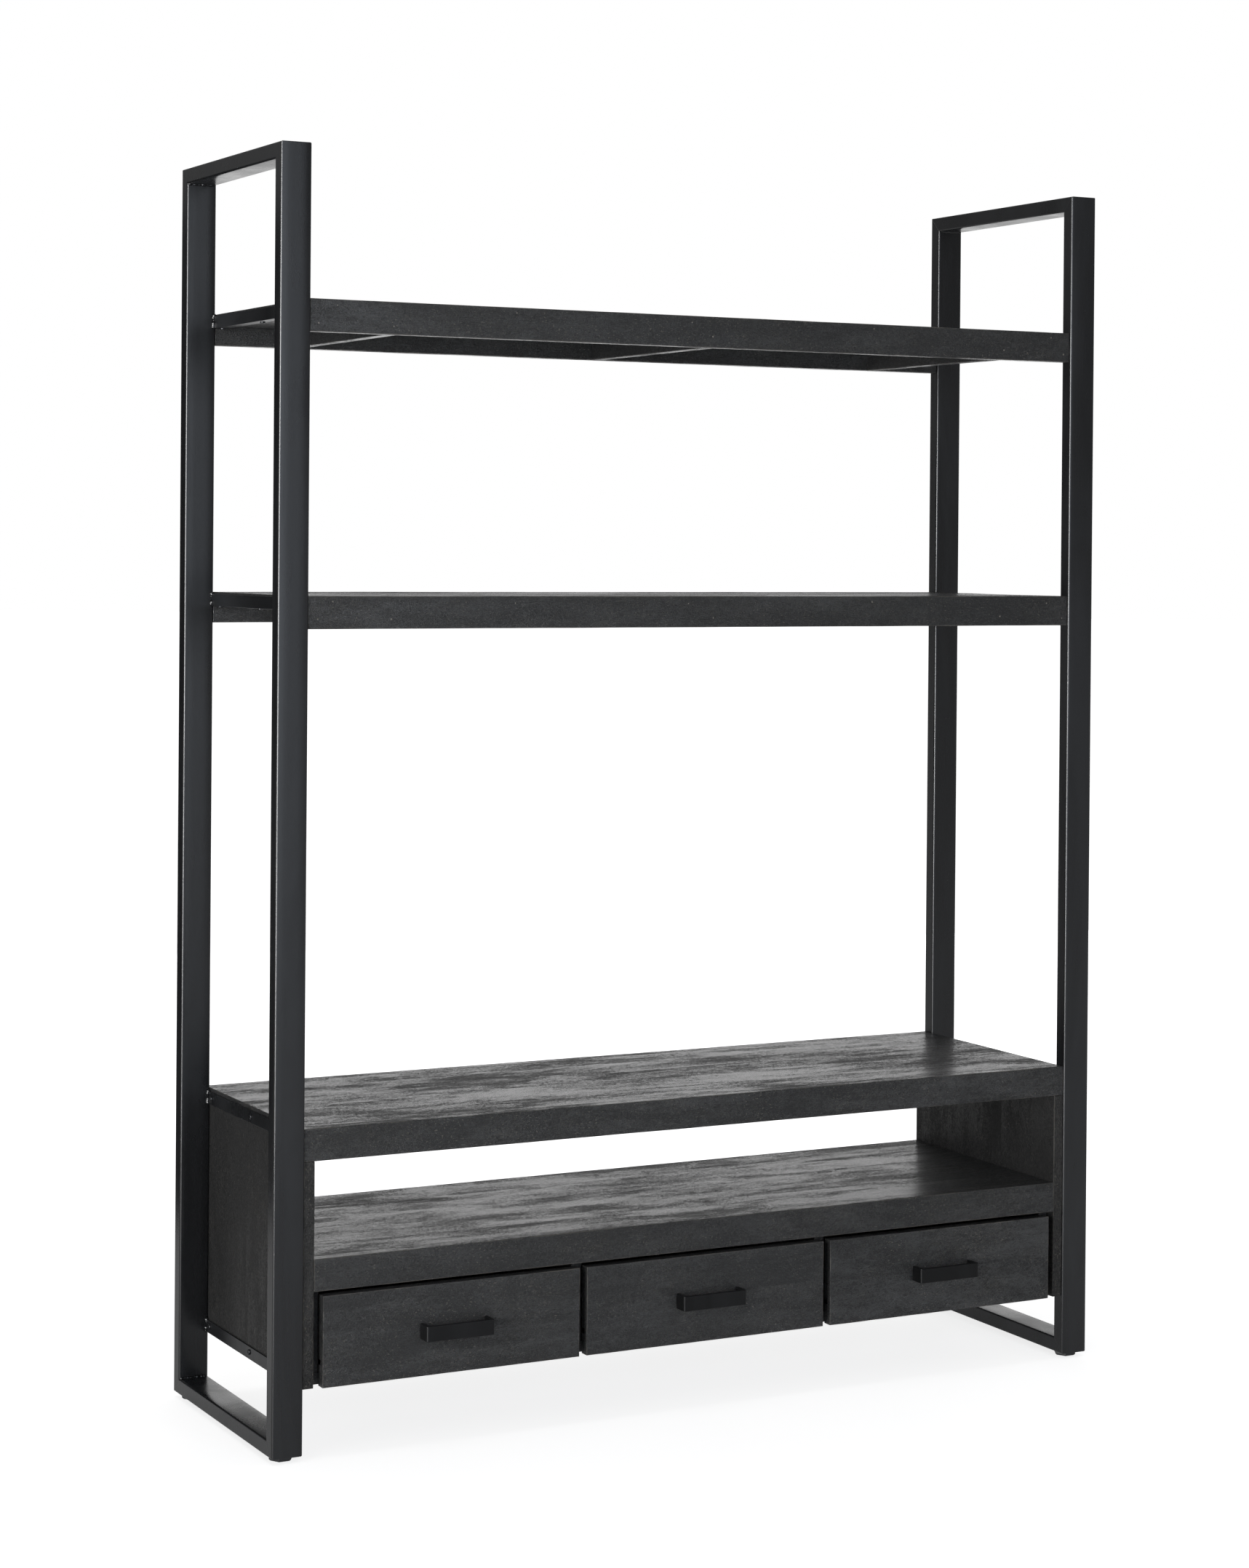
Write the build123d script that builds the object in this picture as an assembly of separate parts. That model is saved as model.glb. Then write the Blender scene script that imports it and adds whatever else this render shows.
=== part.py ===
from build123d import *
import os

# Bookcase for a living room: two welded steel side frames carry two open shelves and a low
# cabinet with an open niche and three drawers. All sizes are in millimetres.
# X runs across, Y from the front (-) to the back (+), Z up. The origin is on the floor, in the
# middle of the outline that the feet, the frames and the drawer handles take up.

# ---------------------------------------------------------------- driving dimensions
width = 1500.0  # outside of one side frame to outside of the other
frame_depth = 440.0
height = 2000.0  # floor to the top of the frames

# Rectangular tube of the side frames
tube_width = 50.0  # across the bookcase
tube_depth = 25.0  # in the plane of the frame
tube_wall = 2.0
tube_radius = 3.0

# Levelling feet, screwed into nuts inside the bottom rails
foot_thickness = 8.0
foot_across_flats = 34.0
foot_chamfer = 2.5
foot_inset = 26.0  # from the front or back of the frame to the stem
stem_radius = 4.0
stem_tip_gap = 4.0  # tip of a stem below the upper wall of its bottom rail
nut_across_flats = 13.0
nut_height = 6.5
thread_clearance = 0.05
rail_hole_clearance = 0.5

# Steel bars welded between the posts
bar_leg = 20.0
bar_thickness = 3.0
bar_drop = 3.0  # top of a bar below the top of the board that it holds

# Shelves
top_shelf_drop = 235.0  # top of the frame to the top of the upper shelf
shelf_spacing = 452.0  # top of the upper shelf to the top of the middle shelf
shelf_thickness = 20.0
shelf_end_gap = 0.5
apron_height = 50.0
apron_thickness = 20.0
wood_setback = 3.0  # aprons and cabinet behind the faces of the posts
rib_thickness = 20.0
rib_inset = 140.0  # from the end of a shelf to the middle of its outer ribs

# Cabinet
cabinet_lift = 108.0  # floor to the underside of the cabinet
niche_height = 179.0  # top of the lower shelf to the underside of the top board
side_thickness = 18.0
floor_thickness = 18.0
divider_thickness = 18.0
back_thickness = 6.0
edge_radius = 1.5

# Drawers
drawer_count = 3
drawer_height = 140.5  # of a drawer front
drawer_gap = 13.0  # between two neighbouring drawer fronts
drawer_top_gap = 6.5  # drawer front to the apron above it
drawer_proud = 5.0  # drawer fronts in front of the side panels
front_thickness = 18.0
box_wall = 12.0
box_top_gap = 24.0  # drawer box to the apron above it
box_floor_gap = 5.0
box_back_gap = 20.0
bottom_thickness = 8.0
bottom_lift = 33.0  # underside of a drawer front to the drawer's bottom panel
groove_clearance = 0.2
side_groove = 6.0
front_groove = 9.0

# Drawer runners: a channel on the cabinet and a rail inside it on the drawer
runner_height = 35.0
runner_space = 12.5  # between the side of a drawer and its bay
runner_sheet = 1.2
runner_running_gap = 1.0
runner_end_gap = 4.0

# Handles: a flat bar bent into a U
handle_width = 115.0
handle_height = 24.0
handle_reach = 27.0
handle_bar = 6.0
handle_radius = 2.5

# Screws
screw_radius = 2.0
screw_length = 15.0
screw_hole_clearance = 0.1
head_radius = 4.25
head_height = 2.4
screw_inset = 15.0  # from the end of a bar to its outer screws
handle_screw_grip = 10.0

# ---------------------------------------------------------------- derived places
drawer_lead = drawer_proud - wood_setback  # drawer fronts in front of the posts
handle_lead = drawer_lead + handle_reach
rear = (frame_depth + handle_lead) / 2
front = rear - frame_depth
middle_y = (front + rear) / 2
inner_x = width / 2 - tube_width  # inner faces of the posts
post_x = width / 2 - tube_width / 2
rail_bottom = foot_thickness
bar_span = (front + tube_depth, rear - tube_depth)

wood_front = front + wood_setback
wood_rear = rear - wood_setback
apron_back = wood_front + apron_thickness  # inner faces of the two aprons
rear_apron_front = wood_rear - apron_thickness
ledge_span = (max(bar_span[0], apron_back), min(bar_span[1], rear_apron_front))

top_shelf_top = height - top_shelf_drop
middle_shelf_top = top_shelf_top - shelf_spacing
cabinet_bottom = cabinet_lift
floor_top = cabinet_bottom + floor_thickness
drawer_front_top = cabinet_bottom + drawer_height
lower_apron_bottom = drawer_front_top + drawer_top_gap
lower_shelf_top = lower_apron_bottom + apron_height
lower_shelf_underside = lower_shelf_top - shelf_thickness
board_underside = lower_shelf_top + niche_height
cabinet_top = board_underside + shelf_thickness
upper_bar_top = cabinet_top - 2 * bar_drop
panel_inner = inner_x - side_thickness
back_front = wood_rear - back_thickness

drawer_pitch = (2 * panel_inner - drawer_gap) / drawer_count
front_width = drawer_pitch - drawer_gap
bay_width = drawer_pitch - divider_thickness
packer_thickness = (2 * panel_inner - drawer_count * drawer_pitch + divider_thickness) / 2
drawer_face = wood_front - drawer_proud
box_front = drawer_face + front_thickness
box_rear = back_front - box_back_gap
box_width = bay_width - 2 * runner_space
box_bottom = floor_top + box_floor_gap
box_top = lower_apron_bottom - box_top_gap
bottom_panel_z = cabinet_bottom + bottom_lift
handle_z = (cabinet_bottom + drawer_front_top) / 2
drawer_x = [(i - (drawer_count - 1) / 2) * drawer_pitch for i in range(drawer_count)]
drawer_names = ["left", "middle", "right"]

runner_z = (box_bottom + box_top) / 2
runner_front = apron_back + runner_end_gap
runner_length = box_rear - runner_end_gap - runner_front
rail_half = runner_height / 2 - runner_sheet - runner_running_gap

stem_length = tube_depth - tube_wall - stem_tip_gap
upper_screw_z = upper_bar_top - bar_leg / 2
lower_screw_z = cabinet_bottom + (bar_leg - bar_thickness) / 2
screw_y = [bar_span[0] + screw_inset, middle_y, bar_span[1] - screw_inset]


# ---------------------------------------------------------------- shared shapes
def block(x, y, z):
    """A box between three pairs of limits."""
    limits = (x, y, z)
    sizes = [high - low for low, high in limits]
    centre = [(high + low) / 2 for low, high in limits]
    return Pos(*centre) * Box(*sizes)


def along(centre, length):
    """The two limits of a length about its centre."""
    return (centre - length / 2, centre + length / 2)


def on_side(side, near, far):
    """The X limits of a piece that lies near to far from the middle, on side -1 or 1."""
    return tuple(sorted((side * near, side * far)))


def eased(board, axis, which):
    """The board with the edges of its face at one end of an axis rounded; which is 0 or -1."""
    face = board.faces().sort_by(axis)[which]
    return fillet(face.edges(), edge_radius)


def screw(length):
    """A pan-head screw: its shank runs up from the origin and its head hangs below."""
    shank = extrude(Circle(screw_radius), length)
    head = extrude(Circle(head_radius), -head_height)
    head = fillet(head.edges().sort_by(Axis.Z)[0], head_height * 0.7)
    return shank + head


def screw_hole(length):
    """The hole that the shank of a screw goes through."""
    return extrude(Circle(screw_radius + screw_hole_clearance), length)


# Where each kind of screw stands, as the place that turns +Z into its direction
def side_screw_place(side, y, z):
    return Pos(side * (inner_x + bar_thickness), y, z) * Rot(0, -90 * side, 0)


def shelf_screw_place(side, y, shelf_top):
    flange_middle = inner_x + bar_thickness - bar_leg / 2
    return Pos(side * flange_middle, y, shelf_top - shelf_thickness - bar_thickness)


def handle_screw_place(x):
    return Pos(x, box_front, handle_z) * Rot(90, 0, 0)


# ---------------------------------------------------------------- side frames
def tube_section():
    """The hollow section of the frame tube."""
    outside = RectangleRounded(tube_width, tube_depth, tube_radius)
    inside = RectangleRounded(
        tube_width - 2 * tube_wall, tube_depth - 2 * tube_wall, tube_radius - tube_wall
    )
    return outside - inside


def mitre_prism(long_edge, short_edge):
    """The wedge-ended prism, as wide as the frame, that cuts a tube at 45 degrees at both ends."""
    (y1, z1), (y2, z2) = long_edge
    (y3, z3), (y4, z4) = short_edge
    outline = Polyline((y1, z1), (y2, z2), (y4, z4), (y3, z3), close=True)
    return extrude(Plane.YZ * make_face(outline), width, both=True)


def frame_tubes(side):
    """The four mitred tubes of one side frame, by name."""
    outer = {"front": front, "rear": rear}
    inner = {"front": front + tube_depth, "rear": rear - tube_depth}
    low, high = rail_bottom, height
    inner_low, inner_high = low + tube_depth, high - tube_depth
    tubes = {}
    for end in ("front", "rear"):
        middle = (outer[end] + inner[end]) / 2
        tube = extrude(Pos(side * post_x, middle, low) * tube_section(), high - low)
        prism = mitre_prism(
            ((outer[end], low), (outer[end], high)), ((inner[end], inner_low), (inner[end], inner_high))
        )
        tubes[f"{end}_post"] = tube & prism
    levels = {"bottom_rail": (low, inner_low), "top_rail": (high, inner_high)}
    for name, (outer_z, inner_z) in levels.items():
        section = Plane.XZ.offset(-front) * Pos(side * post_x, (outer_z + inner_z) / 2) * tube_section()
        tube = extrude(section, -frame_depth)
        prism = mitre_prism(
            ((front, outer_z), (rear, outer_z)), ((inner["front"], inner_z), (inner["rear"], inner_z))
        )
        tubes[name] = tube & prism
    for y in foot_places_y():
        hole = Pos(side * post_x, y, rail_bottom - 1) * extrude(
            Circle(stem_radius + rail_hole_clearance), tube_wall + 2
        )
        tubes["bottom_rail"] -= hole
    return tubes


def foot_places_y():
    return (front + foot_inset, rear - foot_inset)


def foot_nut(x, y):
    """A hexagonal nut welded on the inside of a bottom rail's lower wall."""
    seat = Pos(x, y, rail_bottom + tube_wall)
    outline = RegularPolygon(nut_across_flats / 2, 6, major_radius=False)
    bore = Circle(stem_radius + thread_clearance)
    return seat * extrude(outline - bore, nut_height)


def levelling_foot(x, y):
    """A hexagonal glide with a threaded stem, screwed right in."""
    base = extrude(RegularPolygon(foot_across_flats / 2, 6, major_radius=False), foot_thickness)
    base = chamfer(base.faces().sort_by(Axis.Z)[0].edges(), foot_chamfer)
    stem = Pos(0, 0, foot_thickness) * extrude(Circle(stem_radius), stem_length)
    return Pos(x, y, 0) * (base + stem)


def angle_bar(side, board_underside_z, leg_up_top):
    """An angle bar between the posts: one leg up against the wood's end, one under the wood."""
    outer = inner_x + bar_thickness
    upright = block(
        on_side(side, inner_x, outer), bar_span, (board_underside_z - bar_thickness, leg_up_top)
    )
    ledge = block(
        on_side(side, outer - bar_leg, outer),
        ledge_span,
        (board_underside_z - bar_thickness, board_underside_z),
    )
    return upright + ledge


# ---------------------------------------------------------------- shelves
def apron(x_limits, top, is_front):
    """A deep edge board at the front or back of a shelf, its outer face eased."""
    y_limits = (wood_front, apron_back) if is_front else (rear_apron_front, wood_rear)
    board = block(x_limits, y_limits, (top - apron_height, top))
    return eased(board, Axis.Y, 0 if is_front else -1)


def open_shelf(name, top):
    """A shelf on angle bars: a board between two aprons, with three ribs under it."""
    ends = (shelf_end_gap - inner_x, inner_x - shelf_end_gap)
    depth = (apron_back, rear_apron_front)
    board = block(ends, depth, (top - shelf_thickness, top))
    rib_x = (rib_inset - inner_x, 0, inner_x - rib_inset)
    rib_z = (top - apron_height, top - shelf_thickness)
    for side in (-1, 1):
        for y in screw_y:
            board -= shelf_screw_place(side, y, top) * screw_hole(screw_length + 1)
    pieces = {
        f"{name}_board": board,
        f"{name}_front_apron": apron(ends, top, True),
        f"{name}_rear_apron": apron(ends, top, False),
        f"{name}_ribs": [block(along(x, rib_thickness), depth, rib_z) for x in rib_x],
    }
    angles = []
    for side in (-1, 1):
        angle = angle_bar(side, top - shelf_thickness, top - bar_drop)
        for y in screw_y:
            angle -= shelf_screw_place(side, y, top) * screw_hole(bar_thickness + 1)
        angles.append(angle)
    pieces[f"{name}_angles"] = angles
    return pieces


# ---------------------------------------------------------------- cabinet
def with_bar_screw_holes(piece, side):
    """The piece with the holes of the screws that come through the bars on one side."""
    for y in screw_y:
        for z in (upper_screw_z, lower_screw_z):
            piece -= side_screw_place(side, y, z) * screw_hole(screw_length + 1)
    return piece


def side_panel(side):
    """A side of the cabinet, notched at its top corners for the aprons of the top board."""
    panel = block(
        on_side(side, panel_inner, inner_x), (wood_front, wood_rear), (cabinet_bottom, board_underside)
    )
    panel = eased(panel, Axis.Y, 0)
    notch_z = (cabinet_top - apron_height, cabinet_top)
    past = (-inner_x, inner_x)
    panel -= block(past, (wood_front, apron_back), notch_z)
    panel -= block(past, (rear_apron_front, wood_rear), notch_z)
    return with_bar_screw_holes(panel, side)


def cabinet_bars():
    """The flat bars beside the top of the cabinet and the angle bars that it stands on."""
    flats, angles = [], []
    for side in (-1, 1):
        outer = inner_x + bar_thickness
        flat = block(on_side(side, inner_x, outer), bar_span, (upper_bar_top - bar_leg, upper_bar_top))
        angle = angle_bar(side, cabinet_bottom, cabinet_bottom - bar_thickness + bar_leg)
        for y in screw_y:
            flat -= side_screw_place(side, y, upper_screw_z) * screw_hole(bar_thickness + 1)
            angle -= side_screw_place(side, y, lower_screw_z) * screw_hole(bar_thickness + 1)
        flats.append(flat)
        angles.append(angle)
    return flats, angles


def channel(x_wall, x_open, half_height):
    """A C-shaped runner member: its web stands at x_wall and its flanges reach to x_open."""
    towards = 1 if x_open > x_wall else -1
    z = (runner_z - half_height, runner_z + half_height)
    y = (runner_front, runner_front + runner_length)
    outside = block(tuple(sorted((x_wall, x_open))), y, z)
    hollow_x = tuple(sorted((x_wall + towards * runner_sheet, x_open + towards)))
    hollow = block(hollow_x, y, (z[0] + runner_sheet, z[1] - runner_sheet))
    return outside - hollow


def cabinet_runners():
    """The fixed channels, one on each side of each drawer bay."""
    members = []
    for x in drawer_x:
        for side in (-1, 1):
            wall = x + side * bay_width / 2
            members.append(channel(wall, wall - side * (runner_space - 2 * runner_sheet), runner_height / 2))
    return members


def cabinet():
    """The pieces of the cabinet that don't move, by name."""
    inside = (-panel_inner, panel_inner)
    across = (-inner_x, inner_x)
    depth = (apron_back, back_front)
    bay_z = (floor_top, lower_shelf_underside)
    divider_x = [x + drawer_pitch / 2 for x in drawer_x[:-1]]
    flats, angles = cabinet_bars()
    packer_x = (panel_inner - packer_thickness, panel_inner)
    top_board = block(across, (apron_back, rear_apron_front), (board_underside, cabinet_top))
    for side in (-1, 1):
        top_board = with_bar_screw_holes(top_board, side)
    return {
        "cabinet_upper_bars": flats,
        "cabinet_lower_angles": angles,
        "cabinet_top_board": top_board,
        "cabinet_top_front_apron": apron(across, cabinet_top, True),
        "cabinet_top_rear_apron": apron(across, cabinet_top, False),
        "cabinet_left_side": side_panel(-1),
        "cabinet_right_side": side_panel(1),
        "lower_shelf_board": block(inside, (apron_back, wood_rear), (lower_shelf_underside, lower_shelf_top)),
        "lower_shelf_front_apron": apron(inside, lower_shelf_top, True),
        "cabinet_floor": block(inside, depth, (cabinet_bottom, floor_top)),
        "drawer_dividers": [block(along(x, divider_thickness), depth, bay_z) for x in divider_x],
        "runner_packers": [block(on_side(side, *packer_x), depth, bay_z) for side in (-1, 1)],
        "drawer_bay_back": block(inside, (back_front, wood_rear), (cabinet_bottom, lower_shelf_underside)),
        "cabinet_runners": cabinet_runners(),
    }


# ---------------------------------------------------------------- drawers
def bottom_groove(x, y):
    """The groove that holds the edge of a drawer's bottom panel."""
    return block(x, y, (bottom_panel_z, bottom_panel_z + bottom_thickness + groove_clearance))


def drawer(name, x):
    """The pieces of one drawer, closed, by name."""
    half_box = box_width / 2
    box_z = (box_bottom, box_top)
    box_y = (box_front, box_rear)
    panel_top = bottom_panel_z + bottom_thickness

    face = block(along(x, front_width), (drawer_face, box_front), (cabinet_bottom, drawer_front_top))
    face = eased(face, Axis.Y, 0)
    face -= bottom_groove(along(x, front_width + 2), (box_front - front_groove, box_front + 1))

    walls = []
    for side in (-1, 1):
        outer, inner = x + side * half_box, x + side * (half_box - box_wall)
        wall = block(tuple(sorted((outer, inner))), box_y, box_z)
        groove_x = tuple(sorted((inner + side * side_groove, inner - side)))
        walls.append(wall - bottom_groove(groove_x, (box_front - 1, box_rear + 1)))

    inner_half = half_box - box_wall
    back = block(along(x, 2 * inner_half), (box_rear - box_wall, box_rear), (panel_top, box_z[1]))
    panel_half = inner_half + side_groove - groove_clearance
    panel_y = (box_front - front_groove + groove_clearance, box_rear)
    panel = block(along(x, 2 * panel_half), panel_y, (bottom_panel_z, panel_top))

    rails = []
    for side in (-1, 1):
        wall = x + side * half_box
        reach = wall + side * (runner_space - runner_sheet - runner_running_gap)
        rails.append(channel(wall, reach, rail_half))

    handle, screws = drawer_handle(x)
    for place in handle_screw_places(x):
        face -= place * screw_hole(front_thickness + 1)
    return {
        f"{name}_drawer_front": face,
        f"{name}_drawer_sides": walls,
        f"{name}_drawer_back": back,
        f"{name}_drawer_bottom": panel,
        f"{name}_drawer_runners": rails,
        f"{name}_drawer_handle": handle,
        f"{name}_drawer_handle_screws": screws,
    }


def handle_screw_places(x):
    leg = (handle_width - handle_bar) / 2
    return [handle_screw_place(x - leg), handle_screw_place(x + leg)]


def drawer_handle(x):
    """A handle bent from flat bar, and the two screws that hold it from inside the drawer."""
    z = along(handle_z, handle_height)
    grip = block(along(x, handle_width), (drawer_face - handle_reach, drawer_face), z)
    corners = grip.edges().filter_by(Axis.Z).group_by(Axis.Y)[0]
    grip = fillet(corners, handle_radius)
    gap_y = (drawer_face - handle_reach + handle_bar, drawer_face + 1)
    grip -= block(along(x, handle_width - 2 * handle_bar), gap_y, (z[0] - 1, z[1] + 1))
    length = front_thickness + handle_screw_grip
    for place in handle_screw_places(x):
        grip -= place * screw_hole(length + 1)
    return grip, [place * screw(length) for place in handle_screw_places(x)]


# ---------------------------------------------------------------- the whole bookcase
def bookcase():
    """Every piece of the bookcase by name; a group of like pieces is a list."""
    pieces = {}
    for side, name in ((-1, "left"), (1, "right")):
        for tube_name, tube in frame_tubes(side).items():
            pieces[f"{name}_{tube_name}"] = tube
    nuts = []
    for side, name in ((-1, "left"), (1, "right")):
        for y, end in zip(foot_places_y(), ("front", "rear")):
            nuts.append(foot_nut(side * post_x, y))
            pieces[f"{name}_{end}_foot"] = levelling_foot(side * post_x, y)
    pieces["foot_nuts"] = nuts
    pieces.update(open_shelf("top_shelf", top_shelf_top))
    pieces.update(open_shelf("middle_shelf", middle_shelf_top))
    pieces.update(cabinet())
    screws = []
    for side in (-1, 1):
        for y in screw_y:
            for shelf_top in (top_shelf_top, middle_shelf_top):
                screws.append(shelf_screw_place(side, y, shelf_top) * screw(screw_length))
            for z in (upper_screw_z, lower_screw_z):
                screws.append(side_screw_place(side, y, z) * screw(screw_length))
    pieces["frame_screws"] = screws
    for name, x in zip(drawer_names, drawer_x):
        pieces.update(drawer(name, x))
    return pieces


os.makedirs("parts", exist_ok=True)
for node, made in bookcase().items():
    if isinstance(made, list):
        made = Compound(children=[Solid(solid.wrapped) for piece in made for solid in piece.solids()])
    export_step(made, f"parts/{node}.step")
    print(node)
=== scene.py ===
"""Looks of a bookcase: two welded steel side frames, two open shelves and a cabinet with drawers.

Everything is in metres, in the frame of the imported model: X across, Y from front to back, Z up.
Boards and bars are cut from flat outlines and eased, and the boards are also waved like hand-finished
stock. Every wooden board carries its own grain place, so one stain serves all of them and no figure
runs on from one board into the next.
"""
import logging
import math
import random
from collections.abc import Callable, Iterator
from contextlib import contextmanager
from dataclasses import dataclass, field
from enum import Enum
from typing import NamedTuple

import bmesh
import bpy
from mathutils import Matrix, Vector


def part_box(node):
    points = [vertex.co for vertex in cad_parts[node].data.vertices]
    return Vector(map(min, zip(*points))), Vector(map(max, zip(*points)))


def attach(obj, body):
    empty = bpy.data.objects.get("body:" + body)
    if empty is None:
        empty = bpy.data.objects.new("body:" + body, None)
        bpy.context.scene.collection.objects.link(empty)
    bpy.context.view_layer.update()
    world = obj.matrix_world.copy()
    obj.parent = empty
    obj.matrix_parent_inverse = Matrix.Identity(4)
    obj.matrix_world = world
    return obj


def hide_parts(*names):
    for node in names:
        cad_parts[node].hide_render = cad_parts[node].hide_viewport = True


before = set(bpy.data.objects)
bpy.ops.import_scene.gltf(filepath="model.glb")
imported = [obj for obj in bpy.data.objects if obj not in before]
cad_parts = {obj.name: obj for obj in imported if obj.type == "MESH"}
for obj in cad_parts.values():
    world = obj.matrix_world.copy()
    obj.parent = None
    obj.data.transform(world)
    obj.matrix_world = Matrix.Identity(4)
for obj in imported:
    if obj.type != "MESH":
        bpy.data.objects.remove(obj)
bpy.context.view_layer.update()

MM = 0.001
WELD = 0.001 * MM
MOST_RINGS = 100
Box = tuple[Vector, Vector]
Run = tuple[Vector, Vector, float]
Colour = tuple[float, float, float]
log = logging.getLogger("bookcase")


class Way(Enum):
    """A direction of the bookcase, which a board's grain or a bar's length follows."""

    ACROSS = 0
    BACK = 1
    UP = 2

    def vector(self, length: float = 1.0) -> Vector:
        """A vector of that length this way."""
        return Vector([length if i == self.value else 0.0 for i in range(3)])


def grey(tone: float) -> Colour:
    """A colour without hue."""
    return tone, tone, tone


class Slot(Enum):
    """The record's material slots that go with new pieces; they are passed along, but no piece is given
    one here.
    """

    FRAME = "frame_steel"
    HANDLE = "handle_steel"
    WOOD = "stained_wood"
    BOX_WOOD = "drawer_wood"
    SCREW = "screw_steel"
    FOOT = "foot_plastic"


# ------------------------------------------------------------------ shader nodes
class Wire:
    """A number that flows from one shader node to the next, with Python's own operators."""

    def __init__(self, shader: "Shader", socket: bpy.types.NodeSocket) -> None:
        """Wraps an output socket of one of the shader's nodes."""
        self.shader = shader
        self.socket = socket

    def __add__(self, other: "Wire | float") -> "Wire":
        """Sum."""
        return self.shader.maths("ADD", self, other)

    def __sub__(self, other: "Wire | float") -> "Wire":
        """Difference."""
        return self.shader.maths("SUBTRACT", self, other)

    def __rsub__(self, other: float) -> "Wire":
        """Difference from a plain number."""
        return self.shader.maths("SUBTRACT", other, self)

    def __mul__(self, other: "Wire | float") -> "Wire":
        """Product."""
        return self.shader.maths("MULTIPLY", self, other)

    def __truediv__(self, other: "Wire | float") -> "Wire":
        """Quotient."""
        return self.shader.maths("DIVIDE", self, other)

    def __abs__(self) -> "Wire":
        """Size without sign."""
        return self.shader.maths("ABSOLUTE", self)

    __radd__ = __add__
    __rmul__ = __mul__

    def least(self, other: "Wire | float") -> "Wire":
        """The smaller of two values."""
        return self.shader.maths("MINIMUM", self, other)

    def most(self, other: "Wire | float") -> "Wire":
        """The larger of two values."""
        return self.shader.maths("MAXIMUM", self, other)

    def floor(self) -> "Wire":
        """The whole number below."""
        return self.shader.maths("FLOOR", self)

    def ramp(self, start: float, end: float, low: float = 0.0, high: float = 1.0) -> "Wire":
        """Goes smoothly from low to high as the value goes from start to end.

        Args:
            start: Value at which the result leaves low. It may be above end.
            end: Value at which the result reaches high.
            low: Result before start.
            high: Result after end.

        Returns:
            The eased value, never outside low and high.
        """
        node = self.shader.node(
            "ShaderNodeMapRange",
            {"interpolation_type": "SMOOTHSTEP", "clamp": True},
            {"Value": self, "From Min": start, "From Max": end, "To Min": low, "To Max": high},
        )
        return Wire(self.shader, node.outputs["Result"])


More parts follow.
